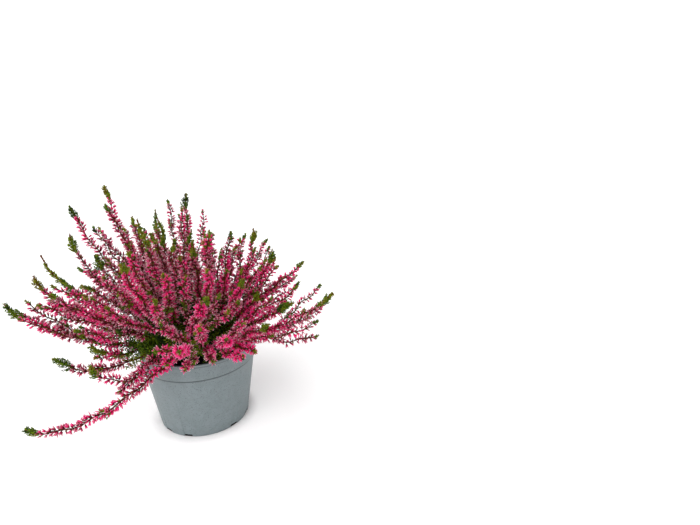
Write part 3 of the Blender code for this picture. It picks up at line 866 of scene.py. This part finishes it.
# %% Shoots low on the left
SAGGING = (2, 272, -77, 33, -3, 78, 0.127)
LOW_SHOOTS = (0, 4)
LOWEST = 0.087
side_shoots.append(shoot(*SAGGING[:3], SAGGING[3:6], SAGGING[6]))
side_shoots[-1]["parent"] = main_shoots[1]
for number in LOW_SHOOTS:
    parent = main_shoots[number]
    for share in (0.42, 0.56):
        plan = {"line": parent["line"] * 0}
        while plan["line"][:, 2].min() < LOWEST:
            turn, spread = draw.uniform(0, math.tau), math.radians(draw.uniform(16, 26))
            plan = side_shoot(parent, share, turn, spread, parent["length"] * (0.92 - share))
        side_shoots.append(plan)
print("side shoots:", len(side_shoots))

# %% [markdown]
# Under the flowers, short leafy twigs without florets fill the plant's inside, where it looks nearly black
# between its spikes. Some stand round every fork. More lean out to the left front, where the leaves show.

# %% Leafy twigs
INNER_TWIGS = 13
FRONT_TWIGS = 42
draw = random.Random(29)
# rises at the foot, what the middle and the tip rise more, azimuths (degrees), lengths (metres)
INNER = ((24, 82), 0, 10, (0, 360), (0.040, 0.064))
FRONT = ((10, 30), 4, 16, (206, 296), (0.034, 0.052))


def leafy_twig(cutting, rises, middle, tip, azimuths, lengths):
    """One twig that doesn't sway, drawn at random between those limits."""
    foot, turn, length = draw.uniform(*rises), draw.uniform(*azimuths), draw.uniform(*lengths)
    return shoot(cutting, turn, 0, (foot, foot + middle, foot + tip), length)


leafy_twigs = [leafy_twig(number // INNER_TWIGS, *INNER) for number in range(CUTTINGS * INNER_TWIGS)]
leafy_twigs += [leafy_twig(2 if number % 3 else 3, *FRONT) for number in range(FRONT_TWIGS)]
print("leafy twigs:", len(leafy_twigs))

# %% [markdown]
# ## Stems
# A heather stem is thin, red-brown and woody, and the limbs under it are grey-brown with flaking bark. Each
# stem is one tube from its fork to its tip. A waver of less than 1.6 mm is added square to the path, because
# no stem is a perfect curve. It starts at nothing, so that every stem still grows from its own fork.

# %% Stems and trunks
STEM_POINTS = 25
WAVER = 0.0011


def wavering(plan, dice):
    """The stem's line plus two slow sine waves square to it that begin at nothing."""
    line = plan["line"]
    _, left, up = [values[0] for values in frames_of(line[None])]
    distance = along(plan)[:, None]
    size = WAVER * np.minimum(1, distance / 0.03)
    one, two = [np.sin(math.tau * distance / dice.uniform(0.022, 0.042) + dice.uniform(0, 6)) for _ in "ab"]
    return line + size * (one * left + two * up)


def stem_radii(length, limb):
    """Radius along a stem: 1.9 mm at the fork for a limb and 0.8 mm for the others, thinner to the tip."""
    distance = np.linspace(0, length, STEM_POINTS)
    if limb:
        return np.interp(distance, [0, LIMB_LENGTH, FLOWERS_FROM, length], [0.0019, 0.0011, 0.0009, 0.0006])
    return np.interp(distance, [0, length], [0.0008, 0.0005])


def owned(plans, cutting):
    """The plans that grow on that cutting."""
    return [plan for plan in plans if plan["cutting"] == cutting]


def values_of(plans, name):
    """One value of each plan as an array."""
    return np.array([plan[name] for plan in plans])


dice = np.random.default_rng(8)
for plan in main_shoots + twigs + side_shoots + leafy_twigs:
    plan["line"] = wavering(plan, dice)
    plan["tone"] = dice.uniform(0, 1)
    plan["path"] = spots(plan["line"][None], np.linspace(0, 1, STEM_POINTS)[None])[0][0]

bark, tree, shader = new_finish("heather_bark", 0.85, Specular_IOR_Level=0.12)
flake = cloudy(tree, 0.0015, 4, 0.7)
old = ramp(tree, flake, (0.3, 52, 38, 30), (0.5, 92, 72, 58), (0.7, 128, 106, 88))
young = ramp(tree, flake, (0.3, 58, 20, 20), (0.5, 88, 34, 30), (0.7, 112, 56, 44))
worn = mixed(tree, spread_over(tree, mark(tree, "reach"), 0.08, 0.25), old, young)
tree.links.new(worn, shader.inputs["Base Color"])
relief(tree, shader, flake, 0.0003)

TRUNK_RADIUS = 0.0026
TRUNK_DEPTH = 0.016
trunk_share = np.linspace(0, 1, 9)
swelling = 0.5 * np.exp(-((trunk_share - 0.62) / 0.1) ** 2)
trunk_radius = TRUNK_RADIUS * (0.95 + swelling + 0.55 * trunk_share ** 6)


def stems_of(cutting):
    """The trunk of one cutting, with a swelling at the compost and a knob at the fork, and all its stems."""
    fork = fork_place(cutting)
    foot = fork + [0, 0, SOIL_TOP - TRUNK_DEPTH + 0.001 - FORK_HEIGHT]
    trunk = foot + trunk_share[:, None] * (fork + [0, 0, 0.002] - foot)
    made = [tubes(trunk[None], trunk_radius[None], 12, np.array([0.2]))]
    made[0]["reach"] *= 0
    for plans, limb in ((main_shoots + twigs, True), (side_shoots + leafy_twigs, False)):
        own = owned(plans, cutting)
        radii = np.array([stem_radii(plan["length"], limb) for plan in own])
        made.append(tubes(values_of(own, "path"), radii, 6, values_of(own, "tone")))
        if not limb:
            made[-1]["reach"] += 0.4
    return joined(made)


def dress(name, surface_of, finish, with_wood=True):
    """One piece for each cutting. It stands for the cutting's shoots, and for its wood too if with_wood."""
    for cutting in range(CUTTINGS):
        nodes = [plan["node"] for plan in owned(main_shoots, cutting)]
        nodes += [f"cutting_{cutting + 1}"] * with_wood
        piece_of(f"{name}_{cutting + 1}", surface_of(cutting), finish, nodes)


dress("stems", stems_of, bark)

# %% [markdown]
# ## Florets
# A heather floret is a tiny open bell of four narrow sepals on a short stalk, about five millimetres long.
# From a step away a spike looks like a cloud of pink points, so what counts is the sepals' slender, pointed
# shape and the pale edge at each tip. A sepal is a closed spindle of three long faces with two rings between
# its ends. Three florets of different openness are enough variety, because each copy has its own size, turn
# and tone.

# %% One floret
def spindle(heights, widths, depths, bend):
    """A slender body from z = 0 to 1: a triangle of that width and depth at each height, a pole at each end.
    The middle line leans over by bend * z^2."""
    heights, widths, depths = np.array(heights), np.array(widths), np.array(depths)
    x = np.stack([depths / 2, -depths / 2, -depths / 2], axis=1) + bend * heights[:, None] ** 2
    y = np.stack([0 * widths, widths / 2, -widths / 2], axis=1)
    rings = np.stack([x, y, np.repeat(heights[:, None], 3, axis=1)], axis=-1).reshape(-1, 3)
    points = np.vstack([[[0, 0, 0]], rings, [[bend, 0, 1]]])
    return {"points": points, "faces": skin(len(heights), 3), "reach": points[:, 2].copy()}


# turn about the floret's axis in radians, share by which it is opened more, and shift of its tone
SEPALS = ((0.4, 0.0, 0.1), (2.1, 0.25, -0.12), (3.5, -0.15, 0.16), (5.1, 0.1, -0.06))


def floret(opening, length, width, bend):
    """Four spindles leaned out from the axis by opening and turned to the four sides, on a thin stalk."""
    sepal = spindle([0.34, 0.74], [width, width * 0.72], [width * 0.5, width * 0.3], bend)
    x, y, z = sepal["points"].T * length
    parts = []
    for turn, more, shade in SEPALS:
        lean = opening * (1 + more)
        lean_x = 0.00025 + x * math.cos(lean) + z * math.sin(lean)
        lean_z = z * math.cos(lean) - x * math.sin(lean)
        points = spun(np.stack([lean_x, y, lean_z], axis=-1), turn) * (1 - more / 3)
        parts.append(dict(sepal, points=points, shade=np.full(len(points), shade)))
    stalk = spindle([0.7], [0.0005], [0.0005], 0)
    stalk["points"] = (stalk["points"] - [0, 0, 0.8]) * [1, 1, 0.0018]
    stalk["reach"] *= 0
    stalk["shade"] = 0 * stalk["reach"]
    return joined(parts + [stalk])


florets = [
    floret(math.radians(7), 0.0043, 0.30, 0.02),
    floret(math.radians(14), 0.0048, 0.29, 0.06),
    floret(math.radians(28), 0.0050, 0.27, 0.12),
]
print("a floret has", len(florets[0]["faces"]), "triangles")

# %% [markdown]
# Heather florets stand in pairs, each turned against the last, from the leafy foot to the green tip. All
# stems of a cutting are worked out together: every stem gets as many pairs as the longest one, and those past
# its end are dropped. Some spikes are thinner than others: there florets are left out in waves, so that the
# rest stand in clusters with bare stem between them. Those at the end of a spike are still closed: they are
# smaller and point ahead.

# %% Florets along the stems
MAIN_PITCH = 0.0020
SIDE_PITCH = 0.0026
CLUSTER_PITCH = 0.0085
FLOWERS_START = 0.044
LATEST_START = 0.062
SIDE_FLOWERS_FROM = 0.010
# numbers of main shoots: those that point at the viewer, those with florets from the rim on, the one with the
# longest tip, those with a long olive tip, a bright or a yellowish one, and two whose florets start late
FACING = (18, 19, 20, 36, 44)
OVER_LEAVES = (1, 3)
LONG_TIP = 6
GREEN_ENDS = (11, 30, 35, 42, 50)
BRIGHT_TIPS = (0, 1, 2, 4)
YELLOW_TIPS = (23, 27, 32, 37, 39, 48, 51, 52)
LATE = ((20, 0.058), (36, 0.078))


def pairs_along(lines, starts, ends, lengths, pitch, dice):
    """Pairs every pitch along each line, from its start to its end in metres. For each of the two: its place,
    the ways ahead and outward, its share of the way from start to end, and the number of its line."""
    starts, ends = starts + 0 * lengths, ends + 0 * lengths
    count = int(max(ends - starts) / pitch) + 1
    at = starts[:, None] + pitch * (np.arange(count) + dice.uniform(-0.25, 0.25, (len(lines), count)))
    keep = (at < ends[:, None]) & (at > 0)
    values = spots(lines, np.clip(at / lengths[:, None], 0, 1))
    turn = math.pi / 2 * np.arange(count) + dice.normal(0, 0.35, (len(lines), count))
    turn = turn + dice.uniform(0, 6, (len(lines), 1))
    place, ahead, left, up = [np.repeat(value[keep], 2, axis=0) for value in values]
    angle = np.repeat(turn[keep], 2) + np.tile([0, math.pi], keep.sum())
    outward = np.cos(angle)[:, None] * left + np.sin(angle)[:, None] * up
    share = np.repeat(np.clip((at - starts[:, None]) / (ends - starts)[:, None], 0, 1)[keep], 2)
    return place, ahead, outward, share, np.repeat(np.nonzero(keep)[0], 2)


def flowers_of(cutting, plans, pitch):
    """The florets on some plans of one cutting: each stands out, leans ahead and nods a little."""
    dice = np.random.default_rng(40 + cutting)
    own = owned(plans, cutting)
    lines, lengths, flowers = [values_of(own, name) for name in ("path", "length", "flowers")]
    starts, ends = flowers.T
    found = pairs_along(lines, starts, ends, lengths, pitch, dice)
    share, owner = found[3:]
    distance = starts[owner] + share * (ends - starts)[owner]
    wave = 0.5 + 0.5 * np.sin(math.tau * distance / CLUSTER_PITCH + owner)
    kept = dice.uniform(0, 1, len(owner)) > values_of(own, "thin")[owner] * wave ** 2
    place, ahead, outward, share, owner = [values[kept] for values in found]
    count = len(owner)
    lean = dice.uniform(0.25, 0.75, (count, 1)) + 0.9 * np.clip((share[:, None] - 0.88) / 0.12, 0, 1)
    forward = outward * np.cos(lean) + ahead * np.sin(lean) + dice.normal(0, 0.11, (count, 3)) - [0, 0, 0.05]
    tones = values_of(own, "tone")[owner] * 0.55 + dice.uniform(0, 0.45, count)
    sizes = dice.uniform(0.86, 1.14, count) * (1 - 0.3 * np.clip((share - 0.9) / 0.1, 0, 1))
    sizes *= values_of(own, "bloom")[owner]
    axes = axes_along(unit(forward), dice.uniform(0, math.tau, count))
    picked = dice.choice(3, count, p=[0.3, 0.45, 0.25])
    parts = [place + outward * 0.0011, axes, sizes, tones]
    kinds = [[part[picked == number] for part in parts] for number in range(3)]
    return joined([stamped(pattern, *kind) for pattern, kind in zip(florets, kinds)])


def florets_of(cutting):
    """All florets of one cutting, more loosely set on its side shoots."""
    both = ((main_shoots, MAIN_PITCH), (side_shoots, SIDE_PITCH))
    return joined([flowers_of(cutting, plans, pitch) for plans, pitch in both])


def leafy_until(plan):
    """Distance from the fork at which the shoot leaves the place where its leafy foot shows, in metres."""
    distance = np.linspace(0, plan["length"], STEM_POINTS)
    return min(max(FLOWERS_START, distance[in_leafy_place(plan["path"])].max(initial=0)), LATEST_START)


# numbers of main shoots, and the length of their green tip in metres
GREEN_LENGTHS = ((FACING + (3,), 0.001), ((LONG_TIP,), 0.040), (GREEN_ENDS, 0.028), (YELLOW_TIPS, 0.012))
dice = np.random.default_rng(31)
for number, plan in enumerate(main_shoots):
    green = dice.uniform(0.013, 0.018) if number < len(REACHING) else dice.uniform(0.005, 0.010)
    for numbers, metres in GREEN_LENGTHS:
        green = metres if number in numbers else green
    plan["flowers"] = (0.030 if number in OVER_LEAVES else leafy_until(plan), plan["length"] - green)
    plan["thin"] = dice.uniform(0, 0.3) if number > 4 else 0
    plan["bloom"] = 1.07 if number > 4 else 1.15
for plan in side_shoots:
    green = dice.uniform(0.002, 0.006)
    if any(plan["parent"] is main_shoots[number] for number in FACING):
        green = 0.001
    plan["flowers"] = (SIDE_FLOWERS_FROM, plan["length"] - green)
    plan["thin"] = dice.uniform(0, 0.6)
    plan["bloom"] = 1.0
sagging = side_shoots[SIDE_SHOOTS]
sagging["flowers"], sagging["thin"], sagging["bloom"] = (0.046, sagging["length"] - 0.012), 0.05, 1.12
for number, start in LATE:
    main_shoots[number]["flowers"] = (start, main_shoots[number]["flowers"][1])
main_shoots[1]["thin"] = main_shoots[17]["thin"] = 0.25

# %% [markdown]
# Sepals are deep crimson towards the base, their own colour deepened there by painted shade where the
# florets crowd together, clear pink along the blade and pale at the very tip. Older florets fade to a dusty
# rose. The reach mark gives the place along the sepal and the tone mark the age.
# Slow noise makes some spikes fresher than others, and round one place left of the middle all are older.

# %% Heather pink
OLD_PLACE = (-0.045, -0.01, 0.150)
petal, tree, shader = new_finish("heather_pink", 0.6, Specular_IOR_Level=0.2)
reach = mark(tree, "reach")
# the dark stops near the base are partly painted shade between the crowded florets
FRESH = (
    (0.0, 62, 30, 20), (0.25, 108, 2, 34), (0.46, 238, 14, 100), (0.8, 246, 62, 142), (1.0, 254, 206, 228))
FADED = (
    (0.0, 62, 36, 24), (0.25, 80, 20, 30), (0.46, 162, 48, 78), (0.75, 214, 118, 142), (0.95, 255, 234, 232))
patches = spread_over(tree, cloudy(tree, 0.035, 1), 0.32, 0.68)
age = combined(tree, mark(tree, "tone"), patches, "ADD")
older = spread_over(tree, distance_from(tree, place_of(tree), OLD_PLACE), 0.035, 0.105, 0.45, 0)
age = combined(tree, age, older, "ADD")
pink = mixed(tree, spread_over(tree, age, 0.9, 1.35), ramp(tree, reach, *FRESH), ramp(tree, reach, *FADED))
tree.links.new(pink, shader.inputs["Base Color"])
dress("florets", florets_of, petal, False)

# %% [markdown]
# ## Leaves
# Heather leaves are scales a few millimetres long, in four close rows along the stem. At the green tip, short
# branchlets stand forward round the stem like those of a tiny spruce, and they get shorter towards the end,
# which makes the tip a pointed cone. Lower down, leafy twigs hide the fork, and a few small brown leaves
# stand among the florets. A leaf is the simplest closed spindle, with one ring: six triangles, stamped in
# tens of thousands of copies.

# %% Leaves along stems, twigs and branchlets
leaf = spindle([0.40], [0.50], [0.30], 0.1)
blade = spindle([0.45], [0.34], [0.20], 0.14)
# for each kind of leaf: pitch along the line, length, lean in radians, browning towards the end, and pattern
TIP_LEAF = (0.0011, 0.0030, 0.42, 0.4, leaf)
BRANCHLET_LEAF = (0.0013, 0.0030, 0.40, 0, leaf)
SPRIG_LEAF = (0.0009, 0.0031, 0.75, 0, leaf)
FOOT_LEAF = (0.0020, 0.0050, 0.8, 0, blade)
LOW_LEAF = (0.0019, 0.0048, 0.8, 0, blade)
SIDE_LEAF = (0.0012, 0.0028, 0.7, 0, leaf)
BROWN_LEAF = (0.0055, 0.0034, 0.6, 0, leaf)
# the same for branchlets: pitch, share by which they get shorter towards the end, and lean
TIP_BRANCHLET = (0.0021, 0.62, 0.64)
SPRIG = (0.075, 0.3, 0.55)
LOW_BRANCHLET = (0.0052, 0.3, 0.8)
# numbers of main shoots, and the tone of their tip where it isn't drawn at random
TIP_TONES = (((LONG_TIP,), 0.8), (GREEN_ENDS, 0.6), (BRIGHT_TIPS, 0.5), (YELLOW_TIPS, 0.7))


def leafy(kind, lines, starts, ends, lengths, tones, dice):
    """Leaves in crossed pairs: each points ahead, turned out by its lean, and is smaller near the line's end.
    The tone rises by browning * share^3 towards the end."""
    pitch, size, spread, browning, pattern = kind
    place, ahead, outward, share, owner = pairs_along(lines, starts, ends, lengths, pitch, dice)
    count = len(owner)
    angle = spread * dice.uniform(0.75, 1.25, (count, 1))
    forward = unit(ahead * np.cos(angle) + outward * np.sin(angle) + dice.normal(0, 0.08, (count, 3)))
    sizes = size * dice.uniform(0.8, 1.15, count) * (1 - 0.3 * share ** 3)
    tone = 0.75 * tones[owner] + dice.uniform(0, 0.25, count) + browning * share ** 3
    axes = axes_along(forward, dice.uniform(0, math.tau, count))
    return stamped(pattern, place + outward * 0.0002, axes, sizes, tone)


def branchlets(kind, lines, starts, ends, lengths, longest, dice):
    """Short side lines: each leaves at its lean and bends ahead a little. The last are the shortest."""
    pitch, taper, spread = kind
    place, ahead, outward, share, owner = pairs_along(lines, starts, ends, lengths, pitch, dice)
    angle = spread * dice.uniform(0.8, 1.2, (len(owner), 1, 1))
    bend = np.linspace(1, 0.6, 5)[None, :, None] * angle
    step = unit(ahead[:, None] * np.cos(bend) + outward[:, None] * np.sin(bend))
    size = (longest + 0 * lengths)[owner] * (1 - taper * share) * dice.uniform(0.75, 1.1, len(owner))
    steps = np.concatenate([0 * step[:, :1], np.cumsum(step, axis=1)], axis=1)
    return place[:, None] + steps * size[:, None, None] / 5, size, owner


def leaves_of(cutting):
    """Green tips with their branchlets, leafy feet and twigs of one cutting."""
    dice = np.random.default_rng(70 + cutting)
    own = owned(main_shoots + side_shoots, cutting)
    lines, lengths, flowers = [values_of(own, name) for name in ("path", "length", "flowers")]
    first, last = flowers.T
    tip_tones = 0.36 + 0.42 * dice.uniform(0, 1, len(own))
    for numbers, tone in TIP_TONES:
        tip_tones[[any(plan is main_shoots[number] for number in numbers) for plan in own]] = tone
    green = lengths - last
    made = [leafy(TIP_LEAF, lines, last - 0.002, lengths, lengths, tip_tones, dice)]
    longest = np.where(green > 0.020, 0.0060, 0.0080 * np.clip(green / 0.014, 0.3, 1.15))
    made_lines, sizes, owner = branchlets(
        TIP_BRANCHLET, lines, last - 0.002, lengths - 0.22 * green, lengths, longest, dice)
    own_tones = 0.6 * tip_tones[owner] + 0.4 * dice.uniform(0, 1, len(owner))
    made.append(leafy(BRANCHLET_LEAF, made_lines, 0, sizes, sizes, own_tones, dice))
    made_lines, sizes, owner = branchlets(SPRIG, lines, first + 0.004, last - 0.010, lengths, 0.012, dice)
    made.append(leafy(SPRIG_LEAF, made_lines, 0.001, sizes, sizes, tip_tones[owner], dice))
    stems = owned(main_shoots + twigs + leafy_twigs, cutting)
    stem_lines, stem_lengths = values_of(stems, "path"), values_of(stems, "length")
    feet = np.array([plan["flowers"][0] if "flowers" in plan else plan["length"] for plan in stems])
    bright = dice.uniform(0, 1, len(stems)) < 0.35
    low_tones = np.where(bright, 0.6, 0.1 + 0.3 * dice.uniform(0, 1, len(stems)))
    made.append(leafy(FOOT_LEAF, stem_lines, 0.012, feet, stem_lengths, low_tones, dice))
    made_lines, sizes, owner = branchlets(LOW_BRANCHLET, stem_lines, 0.014, feet, stem_lengths, 0.013, dice)
    made.append(leafy(LOW_LEAF, made_lines, 0.001, sizes, sizes, low_tones[owner], dice))
    sides = owned(side_shoots, cutting)
    side_tones = 0.3 * dice.uniform(0, 1, len(sides))
    side_lengths = values_of(sides, "length")
    made.append(leafy(SIDE_LEAF, values_of(sides, "path"), 0, 0.012, side_lengths, side_tones, dice))
    made.append(leafy(BROWN_LEAF, lines, first, last, lengths, 0 * lengths + 1.05, dice))
    return joined(made)


# %% [markdown]
# Young leaves at the tips are yellow-green, older ones dark green, and some tips have turned olive-brown.
# The tone mark picks the colour, and the reach mark makes each leaf darker at its base.

# %% Heather green
green, tree, shader = new_finish("heather_green", 0.6, Specular_IOR_Level=0.2)
LEAF_COLOURS = (
    (0.0, 16, 32, 8), (0.33, 38, 66, 8), (0.58, 110, 142, 18), (0.8, 148, 146, 34), (1.0, 120, 82, 40))
age = combined(tree, mark(tree, "tone"), cloudy(tree, 0.03, 1), "ADD")
skin_colour = ramp(tree, spread_over(tree, age, 0.4, 1.5), *LEAF_COLOURS)
tip = ramp(tree, mark(tree, "reach"), (0.0, 90, 90, 70), (0.5, 220, 220, 200), (1.0, 255, 255, 230))
tree.links.new(mixed(tree, 1.0, skin_colour, tip, "MULTIPLY"), shader.inputs["Base Color"])
dress("leaves", leaves_of, green)
